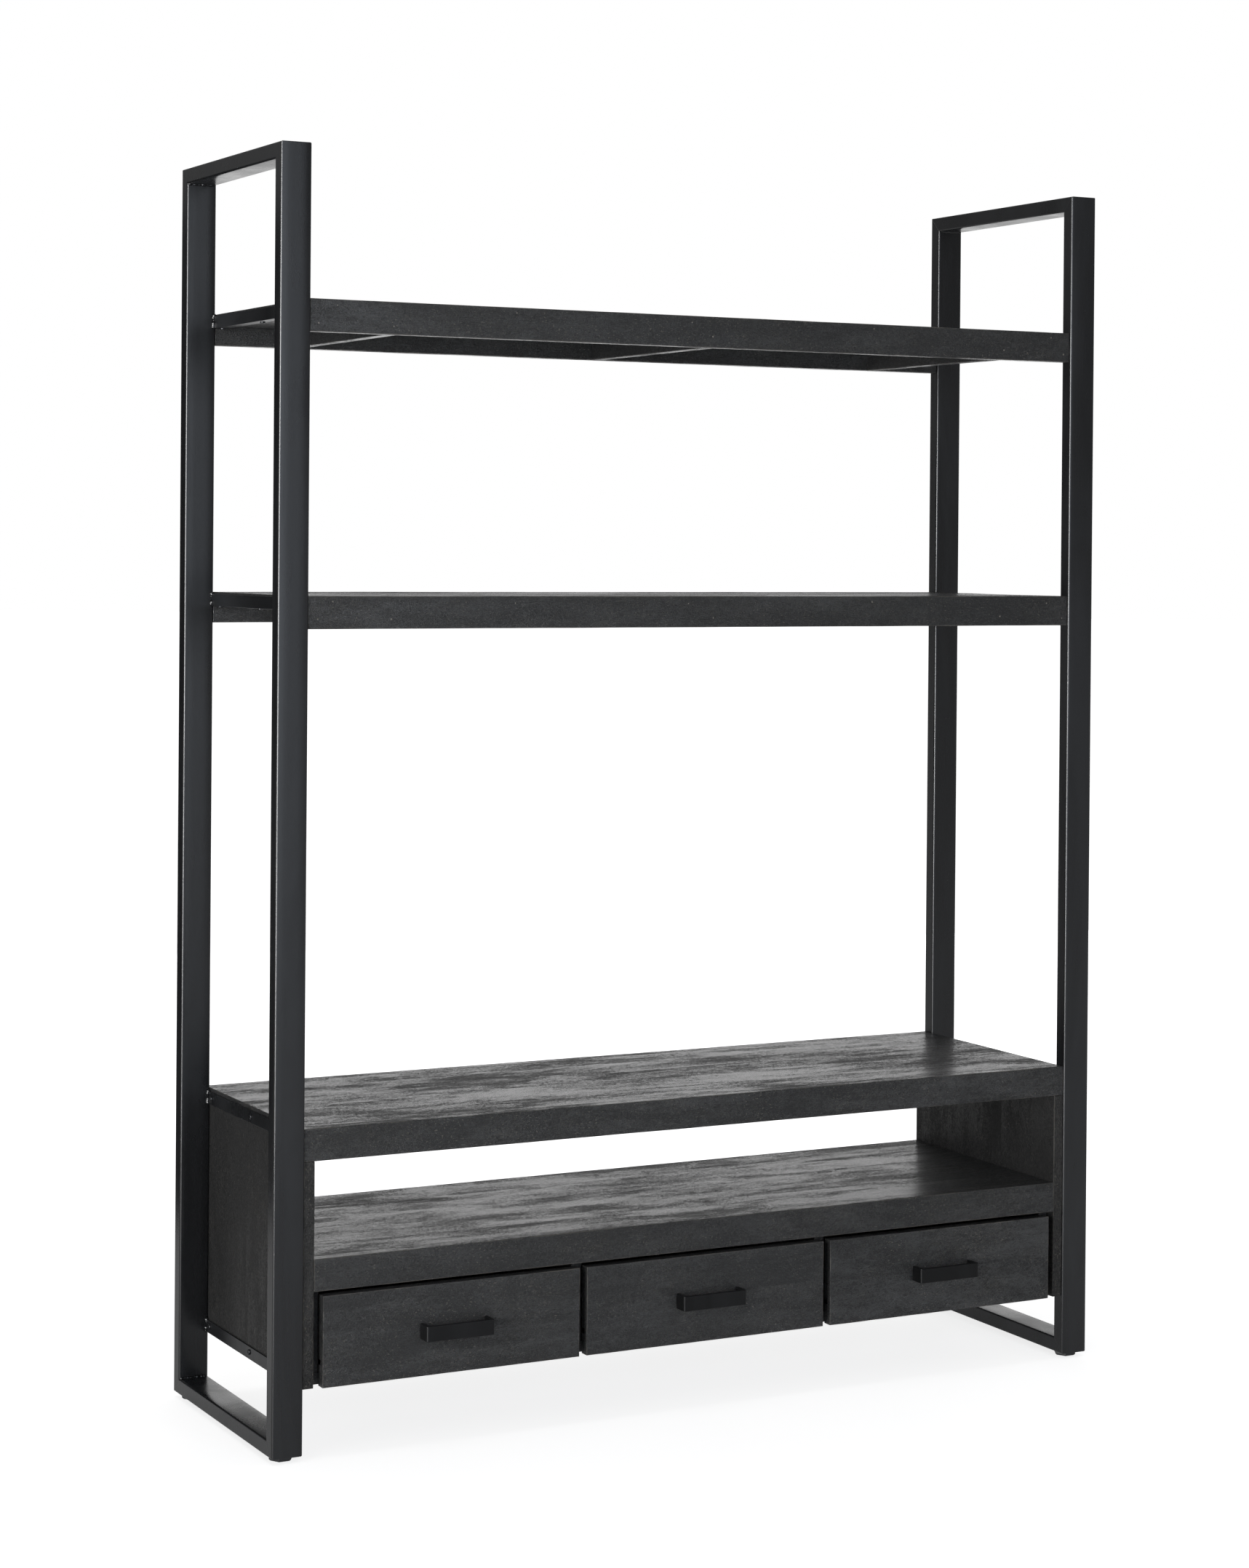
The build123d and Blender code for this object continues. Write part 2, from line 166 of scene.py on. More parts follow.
class Shader:
    """The node tree of one material, built by expressions on wires."""

    def __init__(self, name: str) -> None:
        """Makes an empty material with a surface shader and its output."""
        self.material = bpy.data.materials.new(name)
        self.material.use_nodes = True
        self.tree = self.material.node_tree
        self.tree.nodes.clear()
        self.surface = self.node("ShaderNodeBsdfPrincipled")
        output = self.node("ShaderNodeOutputMaterial")
        self.tree.links.new(self.surface.outputs["BSDF"], output.inputs["Surface"])

    def node(
        self, kind: str, settings: dict[str, object] | None = None, sockets: dict | None = None
    ) -> bpy.types.Node:
        """Adds any node.

        Args:
            kind: Blender's name for the type of node.
            settings: Properties of the node, set before its sockets. "stops" fills a colour ramp.
            sockets: Values or wires by the name or number of the input.

        Returns:
            The new node.
        """
        node = self.tree.nodes.new(kind)
        for key, value in (settings or {}).items():
            if key == "stops":
                self._fill_ramp(node.color_ramp, value)
            else:
                setattr(node, key, value)
        for key, value in (sockets or {}).items():
            if isinstance(value, Wire):
                self.tree.links.new(value.socket, node.inputs[key])
            else:
                node.inputs[key].default_value = value
        return node

    @staticmethod
    def _fill_ramp(ramp: bpy.types.ColorRamp, stops: list[tuple[float, Colour]]) -> None:
        """Gives a colour ramp its stops."""
        while len(ramp.elements) < len(stops):
            ramp.elements.new(1.0)
        for element, (place, colour) in zip(ramp.elements, stops):
            element.position = place
            element.color = (*colour, 1.0)

    def maths(self, operation: str, first: Wire | float, second: Wire | float = 0.0) -> Wire:
        """One Math node on two values."""
        node = self.node("ShaderNodeMath", {"operation": operation}, {0: first, 1: second})
        return Wire(self, node.outputs[0])

    def length(self, vector: Wire) -> Wire:
        """How long a vector is."""
        node = self.node("ShaderNodeVectorMath", {"operation": "LENGTH"}, {0: vector})
        return Wire(self, node.outputs["Value"])

    def object_place(self) -> Wire:
        """Where a point of the piece is at rest."""
        return Wire(self, self.node("ShaderNodeTexCoord").outputs["Object"])

    def attribute(self, name: str, output: str = "Vector") -> Wire:
        """A value that the mesh carries at its points."""
        node = self.node("ShaderNodeAttribute", {"attribute_name": name})
        return Wire(self, node.outputs[output])

    def split(self, vector: Wire) -> tuple[Wire, Wire, Wire]:
        """The three parts of a vector."""
        node = self.node("ShaderNodeSeparateXYZ", None, {0: vector})
        return tuple(Wire(self, output) for output in node.outputs)

    def join(self, x: Wire | float, y: Wire | float, z: Wire | float) -> Wire:
        """A vector of three parts."""
        node = self.node("ShaderNodeCombineXYZ", None, {0: x, 1: y, 2: z})
        return Wire(self, node.outputs[0])

    def noise(
        self, place: Wire, scale: float, detail: float = 2.0, rough: float = 0.5, twist: float = 0.0
    ) -> Wire:
        """Cloudy noise between about 0.2 and 0.8.

        Args:
            place: Where the pattern is read.
            scale: Features per metre.
            detail: Octaves of finer noise.
            rough: Strength of the finer octaves.
            twist: How much the pattern is distorted.

        Returns:
            The noise value.
        """
        node = self.node(
            "ShaderNodeTexNoise",
            None,
            {"Vector": place, "Scale": scale, "Detail": detail, "Roughness": rough, "Distortion": twist},
        )
        return Wire(self, node.outputs["Fac"])

    def white_noise(self, value: Wire) -> Wire:
        """A fixed random number for each value."""
        node = self.node("ShaderNodeTexWhiteNoise", {"noise_dimensions": "1D"}, {"W": value})
        return Wire(self, node.outputs["Value"])

    def colours(self, value: Wire, stops: list[tuple[float, Colour]]) -> Wire:
        """A colour ramp read at a value."""
        node = self.node("ShaderNodeValToRGB", {"stops": stops}, {0: value})
        return Wire(self, node.outputs["Color"])

    def mix(self, share: Wire, first: Wire | Colour, second: Wire | Colour) -> Wire:
        """Blends two colours.

        Args:
            share: How much of the second colour there is.
            first: Colour where share is 0.
            second: Colour where share is 1.

        Returns:
            The blended colour.
        """
        settings = {"data_type": "RGBA", "clamp_factor": True}
        sockets = {0: share}
        for number, colour in ((6, first), (7, second)):
            sockets[number] = colour if isinstance(colour, Wire) else (*colour, 1.0)
        return Wire(self, self.node("ShaderNodeMix", settings, sockets).outputs[2])

    def bump(self, height: Wire, depth: float) -> None:
        """Feeds the surface's Normal from a height of 0 to 1 that stands for a depth in metres."""
        sockets = {"Strength": 1.0, "Distance": depth, "Height": height}
        node = self.node("ShaderNodeBump", None, sockets)
        self.tree.links.new(node.outputs["Normal"], self.surface.inputs["Normal"])

    def feed(self, **sockets: Wire | float) -> None:
        """Sets or links inputs of the surface shader, named with _ for a space."""
        for key, value in sockets.items():
            target = self.surface.inputs[key.replace("_", " ")]
            if isinstance(value, Wire):
                self.tree.links.new(value.socket, target)
            else:
                target.default_value = value


# ------------------------------------------------------------------ finishes
@dataclass(frozen=True)
class Surface:
    """What a finish is: a name, and a node material that is made when it is first asked for."""

    name: str

    def material(self) -> bpy.types.Material:
        """The node material of this finish."""
        made = bpy.data.materials.get(self.name)
        if not made:
            shader = Shader(self.name)
            self.paint(shader)
            made = shader.material
        return made


class Streak(NamedTuple):
    """Noise that is drawn out along the grain: its scales along and across, and its make-up."""

    along: float
    across: float
    detail: float
    rough: float = 0.5
    twist: float = 0.0


@dataclass(frozen=True)
class StainedWood(Surface):
    """Open-pored mango wood, stained nearly black under a thin satin lacquer.

    It reads the grain place that Board.mark leaves on a mesh: x runs along the grain, y across the
    width and z through the thickness of each board.
    """

    dark: Colour
    middle: Colour
    light: Colour
    worn: Colour
    stave: float = 85 * MM
    lacquer: float = 0.26
    polish: float = 1.0
    depth: float = 0.42 * MM
    sway: Streak = Streak(2.4, 6.0, 2.0)
    band: Streak = Streak(3.6, 17.0, 4.0, 0.62, 0.5)
    grain: Streak = Streak(26.0, 66.0, 6.0, 0.78, 0.6)
    fibre: Streak = Streak(60.0, 620.0, 2.0, 0.6)
    leather: Streak = Streak(250.0, 330.0, 4.0, 0.66, 1.4)
    pore: Streak = Streak(75.0, 900.0, 1.0)
    check: Streak = Streak(19.0, 330.0, 2.0)
    crust: Streak = Streak(62.0, 95.0, 4.0, 0.6, 1.2)
    rubbing: Streak = Streak(14.0, 40.0, 4.0, 0.65)

    def paint(self, s: Shader) -> None:
        """Builds this stain's nodes."""
        x, y, z = s.split(s.attribute("board_place"))
        halves = s.split(s.attribute("board_half"))
        seed = s.attribute("board_seed", "Fac")
        wander = s.noise(s.join(x * 1.3 + seed * 9.1, seed, seed), 1.0)
        strip = ((y + halves[1]) / self.stave + wander * 0.25).floor()
        lot = s.white_noise(strip + seed * 17.0)
        along = x + lot * 6.0 + seed * 3.7
        side = y + seed * 0.61
        deep = z + lot * 0.9

        def drawn(streak: Streak, across: Wire = side) -> Wire:
            """Noise drawn out along the grain of one stave."""
            place = s.join(along * streak.along, across * streak.across, deep * streak.across)
            return s.noise(place, 1.0, streak.detail, streak.rough, streak.twist)

        # From the broad figure of the stave down to the pores
        figure = side + (drawn(self.sway) - 0.5) * 0.06
        band, grain, fibre = (drawn(kind, figure) for kind in (self.band, self.grain, self.fibre))
        leather = drawn(self.leather).ramp(0.36, 0.64)
        pore = drawn(self.pore, figure).ramp(0.62, 0.70)
        check = drawn(self.check, figure).ramp(0.665, 0.70)
        crust = drawn(self.crust)
        plain = s.join(along, side, deep)
        crackle = abs(crust - 0.5).ramp(0.020, 0.002) * s.noise(plain, 9.0, 3.0).ramp(0.44, 0.60)
        dull = (band * 0.60 + grain * 0.28 + crust * 0.1 + leather * 0.14).ramp(0.602, 0.524)

        tone = band * 0.48 + grain * 0.55 + fibre * 0.18 + leather * 0.10 + lot * 0.05 - 0.17
        colour = s.colours(tone, [(0.44, self.dark), (0.54, self.middle), (0.65, self.light)])
        colour = s.mix((pore * 0.5).most(check * 0.85), colour, self.dark)
        colour = s.mix(leather.ramp(0.40, 0.05, 0.0, 0.8), colour, self.dark)
        colour = s.mix(leather.ramp(0.66, 1.0, 0.0, 0.6), colour, self.light)
        speck = s.noise(s.join(along * 0.6, side, deep), 430.0, 1.0).ramp(0.66, 0.70)
        patch = s.noise(plain, 11.0, 2.0).ramp(0.40, 0.60)
        gap_x, gap_y, gap_z = (half - abs(place) for half, place in zip(halves, (x, y, z)))
        # The middle one of the three distances to the faces is the distance to the nearest edge
        edge = gap_x.least(gap_y).most(gap_x.most(gap_y).least(gap_z))
        wear = edge.ramp(1.9 * MM, 0.4 * MM) * drawn(self.rubbing).ramp(0.42, 0.62)
        wide = gap_z.ramp(1.2 * MM, 0.2 * MM)
        for share in (crackle * 0.38, speck * patch * 0.8, wear * 0.8):
            colour = s.mix(share, colour, self.worn)

        relief = leather + grain * 0.35 + fibre * 0.16 + crackle * 0.7
        s.feed(
            Base_Color=colour,
            Roughness=0.33 + dull * 0.27 + (fibre - 0.5) * 0.3 + wide * (1.0 - self.polish) * 0.2,
            Specular_IOR_Level=0.14 + self.polish * 0.30,
            Coat_Weight=(0.62 - dull * 0.60) * self.polish,
            Coat_Roughness=self.lacquer,
            Coat_IOR=1.45,
        )
        s.bump(relief - pore * 0.3 - check - dull * 0.1, self.depth)


@dataclass(frozen=True)
class PowderCoat(Surface):
    """Satin black powder coat, with the fine orange peel and the few chips of a welded frame."""

    base: Colour
    roughness: float = 0.27
    peel: float = 0.09 * MM
    gloss: float = 0.5
    crown: float = 15.0
    mitres: bool = False

    def paint(self, s: Shader) -> None:
        """Builds this coat's nodes."""
        place = s.object_place()
        x, y, z = s.split(place)
        peel = s.noise(place, 900.0, 2.0, 0.55)
        lumps = s.noise(place, 260.0, 2.0, 0.5)
        cloudy = s.noise(s.join(x * 9.0, y * 9.0, z * 1.6), 1.0, 4.0, 0.6, 0.5)
        rubs = s.noise(s.join(x * 240.0, y * 240.0, z * 5.0), 1.0, 3.0, 0.6)
        dust = s.noise(place, 1500.0, 1.0).ramp(0.74, 0.80)

        faded = tuple(min(1.0, part * 1.9 + 0.004) for part in self.base)
        colour = s.mix(cloudy.ramp(0.35, 0.75), self.base, faded)
        colour = s.mix(dust * 0.35, colour, grey(0.16))
        rough = self.roughness + cloudy.ramp(0.3, 0.7, -0.05, 0.06)
        rough = rough + rubs.ramp(0.55, 0.75, 0.0, 0.07)
        height = peel * 0.7 + lumps * 0.5
        if self.mitres:
            colour, height = self._mitre_lines(s, (x, y, z), colour, height)
        s.feed(Base_Color=colour, Roughness=rough, Specular_IOR_Level=self.gloss)
        s.bump(height, self.peel)

    def _mitre_lines(
        self, s: Shader, place: tuple[Wire, Wire, Wire], colour: Wire, height: Wire
    ) -> tuple[Wire, Wire]:
        """Adds the seams at the frame's corners, chips on its edges and the tubes' slight crown.

        Args:
            s: The shader being built.
            place: Place across, from front to back and upwards.
            colour: Colour of the coat.
            height: Height of its skin.

        Returns:
            The new colour and height.
        """
        x, y, z = place
        low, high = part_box("left_bottom_rail")[0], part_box("left_top_rail")[1]
        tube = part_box("left_front_post")[1].y - low.y
        from_y = (y - low.y).least(high.y - y)
        from_z = (z - low.z).least(high.z - z)
        corner = from_y.ramp(tube * 1.1, tube) * from_z.ramp(tube * 1.1, tube)
        seam = abs(from_y - from_z).ramp(1.1 * MM, 0.3 * MM) * corner
        across = abs(abs(x) - (abs(low.x) - tube))  # from the middle of the tube's wide faces
        from_x = across - tube  # zero on the tubes' side faces
        edge = abs(from_x).ramp(2.4 * MM, 1.2 * MM) * abs(from_y).ramp(2.4 * MM, 1.2 * MM)
        chips = s.noise(s.join(x * 90.0, y * 90.0, z * 38.0), 1.0, 4.0, 0.7).ramp(0.66, 0.70)
        low_down = z.ramp(0.13, 0.04)
        chipped = edge * chips * low_down.most(0.25)
        colour = s.mix(chipped, colour, (0.30, 0.28, 0.25))
        crown = across / tube
        height = height - seam * 1.2 - chipped * 2.0 - crown * crown * crown * crown * self.crown
        return s.mix(seam * 0.3, colour, (0.05, 0.05, 0.055)), height


@dataclass(frozen=True)
class Plated(Surface):
    """Zinc-plated or blackened steel with fine rolling lines."""

    base: Colour
    stain: Colour
    metallic: float = 1.0
    roughness: float = 0.34
    depth: float = 0.04 * MM

    def paint(self, s: Shader) -> None:
        """Builds this steel's nodes."""
        place = s.object_place()
        x, y, z = s.split(place)
        lines = s.noise(s.join(x * 700.0, y * 12.0, z * 700.0), 1.0, 3.0, 0.6)
        cloud = s.noise(place, 40.0, 4.0, 0.6, 0.4)
        colour = s.mix(cloud.ramp(0.4, 0.75) * 0.7, self.base, self.stain)
        s.feed(
            Base_Color=colour,
            Metallic=self.metallic,
            Roughness=self.roughness + lines.ramp(0.3, 0.7, -0.08, 0.10),
        )
        s.bump(lines * 0.6 + cloud * 0.4, self.depth)


@dataclass(frozen=True)
class Moulded(Surface):
    """Dark moulded plastic with a fine spark-eroded grain and scuffs."""

    base: Colour
    scuff: Colour
    roughness: float = 0.42
    depth: float = 0.06 * MM

    def paint(self, s: Shader) -> None:
        """Builds this plastic's nodes."""
        place = s.object_place()
        grain = s.noise(place, 2600.0, 2.0, 0.6)
        scuffs = s.noise(place, 130.0, 5.0, 0.7, 1.0).ramp(0.56, 0.72)
        s.feed(
            Base_Color=s.mix(scuffs * 0.6, self.base, self.scuff),
            Roughness=self.roughness + scuffs * 0.2,
        )
        s.bump(grain * 0.6 + scuffs * 0.3, self.depth)


class Finish(Enum):
    """Every finish of the bookcase."""

    WOOD = StainedWood(
        "charcoal stain",
        dark=(0.0035, 0.0036, 0.0040),
        middle=(0.0096, 0.0103, 0.0115),
        light=(0.0330, 0.0342, 0.0368),
        worn=(0.125, 0.112, 0.092),
    )
    SIDE_WOOD = StainedWood(
        "matt charcoal stain",
        dark=(0.0050, 0.0048, 0.0046),
        middle=(0.0125, 0.0120, 0.0112),
        light=(0.0300, 0.0285, 0.0265),
        worn=(0.125, 0.112, 0.092),
        polish=0.45,
    )
    BOX_WOOD = StainedWood(
        "dark brown stain",
        dark=(0.020, 0.012, 0.007),
        middle=(0.052, 0.033, 0.020),
        light=(0.105, 0.070, 0.043),
        worn=(0.20, 0.15, 0.10),
        lacquer=0.45,
    )
    FRAME = PowderCoat("frame powder coat", (0.0085, 0.0092, 0.0108), mitres=True)
    BAR = PowderCoat("bar powder coat", (0.0085, 0.0092, 0.0108), roughness=0.3)
    BEAD = PowderCoat("weld bead coat", (0.0075, 0.008, 0.009), roughness=0.2)
    HANDLE = PowderCoat(
        "handle powder coat", (0.004, 0.0042, 0.0048), 0.36, peel=0.04 * MM, gloss=0.24
    )
    ZINC = Plated("zinc-plated steel", (0.56, 0.57, 0.58), grey(0.40))
    SCREW = Plated("black phosphated steel", (0.030, 0.031, 0.034), grey(0.07), 0.6, 0.36)
    FOOT = Moulded("black moulded plastic", (0.020, 0.021, 0.023), (0.060, 0.060, 0.062))
    FILLER = Moulded("nail filler", (0.22, 0.20, 0.17), (0.10, 0.095, 0.09))

    def on(self, piece: bpy.types.Object) -> None:
        """Puts this finish on every material slot of a piece."""
        material = self.value.material()
        if not piece.material_slots:
            piece.data.materials.append(material)
        for slot in piece.material_slots:
            slot.material = material


# ------------------------------------------------------------------ the bench
class Bench:
    """The modelling tools: each works on one mesh at a time."""

    @staticmethod
    def take(*pieces: bpy.types.Object) -> bpy.types.Object:
        """Selects only these pieces and makes the first one active."""
        if bpy.context.object and bpy.context.object.mode != "OBJECT":
            bpy.ops.object.mode_set(mode="OBJECT")
        bpy.ops.object.select_all(action="DESELECT")
        for piece in pieces:
            piece.select_set(True)
        bpy.context.view_layer.objects.active = pieces[0]
        return pieces[0]

    @staticmethod
    def add(shape: str, **settings: object) -> bpy.types.Object:
        """Adds one of Blender's primitives, with nothing else selected."""
        bpy.ops.object.select_all(action="DESELECT")
        getattr(bpy.ops.mesh, f"primitive_{shape}_add")(**settings)
        return bpy.context.object

    @staticmethod
    @contextmanager
    def editing(piece: bpy.types.Object, kind: str = "FACE") -> Iterator[None]:
        """Edit mode on one piece, with nothing selected at first."""
        Bench.take(piece)
        bpy.ops.object.mode_set(mode="EDIT")
        bpy.ops.mesh.select_mode(type=kind)
        bpy.ops.mesh.select_all(action="DESELECT")
        yield
        bpy.ops.object.mode_set(mode="OBJECT")

    @staticmethod
    def pick(piece: bpy.types.Object, kind: str, test: Callable[..., bool]) -> None:
        """Selects, in edit mode, the vertices, edges or faces that pass a test.

        Args:
            piece: The piece in edit mode.
            kind: VERT, EDGE or FACE.
            test: Says whether an element is wanted.
        """
        bpy.ops.mesh.select_mode(type=kind)
        bpy.ops.mesh.select_all(action="DESELECT")
        mesh = bmesh.from_edit_mesh(piece.data)
        items = {"VERT": mesh.verts, "EDGE": mesh.edges, "FACE": mesh.faces}[kind]
        for item in [item for item in items if test(item)]:
            item.select_set(True)
        mesh.select_flush_mode()
        bmesh.update_edit_mesh(piece.data)

    @staticmethod
    def cut_across(axis: int, place: Vector) -> None:
        """Cuts the whole mesh, in edit mode, with a plane square to an axis."""
        bpy.ops.mesh.select_all(action="SELECT")
        bpy.ops.mesh.bisect(plane_co=place, plane_no=Way(axis).vector())

    @staticmethod
    def extrude(offset: Vector | tuple[float, float, float]) -> None:
        """Extrudes what is selected in edit mode."""
        bpy.ops.mesh.extrude_region_move(TRANSFORM_OT_translate={"value": offset})

    @staticmethod
    def modify(piece: bpy.types.Object, kind: str, **settings: object) -> None:
        """Adds a modifier and applies it."""
        Bench.take(piece)
        modifier = piece.modifiers.new(kind.lower(), kind)
        for key, value in settings.items():
            setattr(modifier, key, value)
        bpy.ops.object.modifier_apply(modifier=modifier.name)

    @staticmethod
    def settle(piece: bpy.types.Object) -> None:
        """Moves a piece's place, turn and scale into its mesh."""
        Bench.take(piece)
        bpy.ops.object.transform_apply(location=True, rotation=True, scale=True)

    @staticmethod
    def outwards(piece: bpy.types.Object) -> None:
        """Merges doubles and turns every face outwards."""
        with Bench.editing(piece):
            bpy.ops.mesh.select_all(action="SELECT")
            bpy.ops.mesh.remove_doubles(threshold=WELD)
            bpy.ops.mesh.normals_make_consistent(inside=False)

    @staticmethod
    def smooth(piece: bpy.types.Object, degrees: float = 40.0, weighted: bool = True) -> None:
        """Smooth shading that keeps sharp edges, with flat faces kept flat beside their bevels."""
        Bench.take(piece)
        bpy.ops.object.shade_smooth_by_angle(angle=math.radians(degrees))
        if weighted:
            Bench.modify(piece, "WEIGHTED_NORMAL", mode="FACE_AREA", weight=50, keep_sharp=True)

    @staticmethod
    def copy(piece: bpy.types.Object, place: Matrix) -> bpy.types.Object:
        """A copy with its own mesh, put in place by a matrix."""
        twin = piece.copy()
        twin.data = piece.data.copy()
        bpy.context.collection.objects.link(twin)
        twin.data.transform(place)
        return twin

    @staticmethod
    def joined(name: str, pieces: list[bpy.types.Object]) -> bpy.types.Object:
        """One piece made of several, under a new name."""
        whole = Bench.take(*pieces)
        if len(pieces) > 1:
            bpy.ops.object.join()
        whole.name = name
        whole.data.name = name
        return whole

    @staticmethod
    def hand_in(
        piece: bpy.types.Object, body: str, finish: Finish, slot: Slot, *nodes: str
    ) -> bpy.types.Object:
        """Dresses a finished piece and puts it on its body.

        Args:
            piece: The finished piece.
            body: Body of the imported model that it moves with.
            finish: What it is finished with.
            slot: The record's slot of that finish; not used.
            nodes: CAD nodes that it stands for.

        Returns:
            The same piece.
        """
        finish.on(piece)
        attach(piece, body)
        if nodes:
            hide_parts(*nodes)
        faces = len(piece.data.polygons)
        log.info("%s: %s on %s, %d faces", piece.name, finish.name.lower(), body, faces)
        return piece


def spans(edge: bmesh.types.BMEdge, axis: int, length: float) -> bool:
    """Whether an edge runs along an axis for more than half of a length."""
    return abs(edge.verts[0].co[axis] - edge.verts[1].co[axis]) > length / 2


def solids_in(node: str) -> list[Box]:
    """Finds the separate solids of a CAD node.

    Args:
        node: Name of the node.

    Returns:
        The lowest and highest corner of each solid, from left to right.
    """
    mesh = bmesh.new()
    mesh.from_mesh(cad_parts[node].data)
    bmesh.ops.remove_doubles(mesh, verts=mesh.verts, dist=WELD)
    left, boxes = set(mesh.verts), []
    while left:
        queue, island = [left.pop()], []
        while queue:
            vert = queue.pop()
            island.append(vert.co.copy())
            near = {edge.other_vert(vert) for edge in vert.link_edges} & left
            left -= near
            queue.extend(near)
        low = Vector([min(co[i] for co in island) for i in range(3)])
        high = Vector([max(co[i] for co in island) for i in range(3)])
        boxes.append((low, high))
    mesh.free()
    return sorted(boxes, key=lambda box: (round(box[0].x, 4), round(box[0].y, 4), box[0].z))


@dataclass
class Stock:
    """A straight length of board or bar, pushed out of a flat outline.

    The outline is the cross-section of its box; waste boxes are cut out of it before it is pushed
    along its length.
    """

    name: str
    box: Box
    way: Way
    waste: list[Box] = field(default_factory=list)
    ease: float = 1.2 * MM
    segments: int = 3
    step: float = 15 * MM
    wave: float = 0.5 * MM
    wave_length: float = 0.09

    @property
    def across(self) -> list[int]:
        """The two axes of the outline."""
        return [i for i in range(3) if i != self.way.value]

    def make(self) -> bpy.types.Object:
        """The finished length, with its edges eased and its faces slightly uneven."""
        piece = self._outline()
        self._cut_waste(piece)
        self._rule(piece)
        self._push(piece)
        Bench.outwards(piece)
        if self.ease:
            Bench.modify(
                piece, "BEVEL", width=self.ease, segments=self.segments, limit_method="ANGLE",
                angle_limit=math.radians(40), use_clamp_overlap=True,
            )
        if self.wave:
            self._wave(piece)
        Bench.smooth(piece)
        return piece

    def _outline(self) -> bpy.types.Object:
        """The flat cross-section at the low end of the box."""
        low, high = self.box
        size = high - low
        middle = (low + high) / 2
        middle[self.way.value] = low[self.way.value]
        turn, scale = {
            Way.ACROSS: ((0, math.pi / 2, 0), (size.z, size.y, 1)),
            Way.BACK: ((math.pi / 2, 0, 0), (size.x, size.z, 1)),
            Way.UP: ((0, 0, 0), (size.x, size.y, 1)),
        }[self.way]
        piece = Bench.add("plane", size=1, location=middle, rotation=turn)
        piece.name = piece.data.name = self.name
        piece.scale = scale
        Bench.settle(piece)
        return piece

    def _cut_waste(self, piece: bpy.types.Object) -> None:
        """Cuts the waste boxes out of the outline."""
        if not self.waste:
            return
        low, high = self.box

        def wasted(face: bmesh.types.BMFace) -> bool:
            """Whether a face lies in one of the waste boxes."""
            middle = face.calc_center_median()
            return any(all(a[i] < middle[i] < b[i] for i in self.across) for a, b in self.waste)

        with Bench.editing(piece):
            for corners in self.waste:
                for i in self.across:
                    for corner in corners:
                        if low[i] < corner[i] < high[i]:
                            Bench.cut_across(i, corner)
            Bench.pick(piece, "FACE", wasted)
            bpy.ops.mesh.delete(type="FACE")
            bpy.ops.mesh.select_all(action="SELECT")
            bpy.ops.mesh.dissolve_limited(angle_limit=math.radians(1))

    def _rule(self, piece: bpy.types.Object) -> None:
        """Rules the outline at even steps, so that wide faces have points to wave."""
        if not self.wave:
            return
        low, high = self.box
        with Bench.editing(piece):
            for i in self.across:
                count = int((high[i] - low[i]) / (self.step * 1.3))
                for number in range(1, count + 1):
                    Bench.cut_across(i, low.lerp(high, number / (count + 1)))

    def _push(self, piece: bpy.types.Object) -> None:
        """Pushes the outline along its length and rings it at even steps."""
        i = self.way.value
        length = self.box[1][i] - self.box[0][i]
        with Bench.editing(piece):
            bpy.ops.mesh.select_all(action="SELECT")
            Bench.extrude(self.way.vector(length))
            if self.step:
                rings = max(1, min(MOST_RINGS, round(length / self.step) - 1))
                Bench.pick(piece, "EDGE", lambda e: spans(e, i, length))
                bpy.ops.mesh.subdivide(number_cuts=rings)

    def _wave(self, piece: bpy.types.Object) -> None:
        """Lets the surface wander a little, as on hand-finished stock."""
        name = "hand finish"
        clouds = bpy.data.textures.get(name) or bpy.data.textures.new(name, "CLOUDS")
        clouds.noise_scale = self.wave_length
        clouds.noise_depth = 1
        Bench.modify(
            piece, "DISPLACE", texture=clouds, texture_coords="LOCAL",
            strength=self.wave, mid_level=0.5,
        )


@dataclass
class Board(Stock):
    """A length of wood, which carries the place and the size of its grain."""

    seed: float = 0.0
    grain: Way | None = None

    def make(self) -> bpy.types.Object:
        """The finished board with its grain marked."""
        piece = super().make()
        self.mark(piece)
        return piece

    def mark(self, piece: bpy.types.Object) -> None:
        """Leaves the board's own coordinates, half size and seed on the points of its mesh.

        Args:
            piece: The board's mesh, in place.
        """
        low, high = self.box
        half = (high - low) / 2
        middle = (low + high) / 2
        first = (self.grain or self.way).value
        rest = sorted((i for i in range(3) if i != first), key=lambda i: -half[i])
        order = (first, *rest)
        values = {"board_place": [], "board_half": []}
        for vert in piece.data.vertices:
            for i in order:
                values["board_place"].append(vert.co[i] - middle[i])
                values["board_half"].append(half[i])
        for name, flat in values.items():
            layer = piece.data.attributes.new(name, "FLOAT_VECTOR", "POINT")
            layer.data.foreach_set("vector", flat)
        layer = piece.data.attributes.new("board_seed", "FLOAT", "POINT")
        layer.data.foreach_set("value", [self.seed] * len(piece.data.vertices))


@dataclass
class Strap(Stock):
    """A flat bar bent into a U that is open at the back."""

    bend: float = 3.2 * MM

    def make(self) -> bpy.types.Object:
        """The finished strap, with its two bends rounded."""
        piece = self._outline()
        self._cut_waste(piece)
        half_way = (self.box[0].y + self.waste[0][0].y) / 2
        with Bench.editing(piece, "VERT"):
            Bench.pick(piece, "VERT", lambda v: v.co.y < half_way)
            bpy.ops.mesh.bevel(offset=self.bend, segments=5, affect="VERTICES")
        self._push(piece)
        Bench.outwards(piece)
        Bench.modify(
            piece, "BEVEL", width=self.ease, segments=self.segments, limit_method="ANGLE", angle_limit=0.7
        )
        Bench.smooth(piece)
        return piece


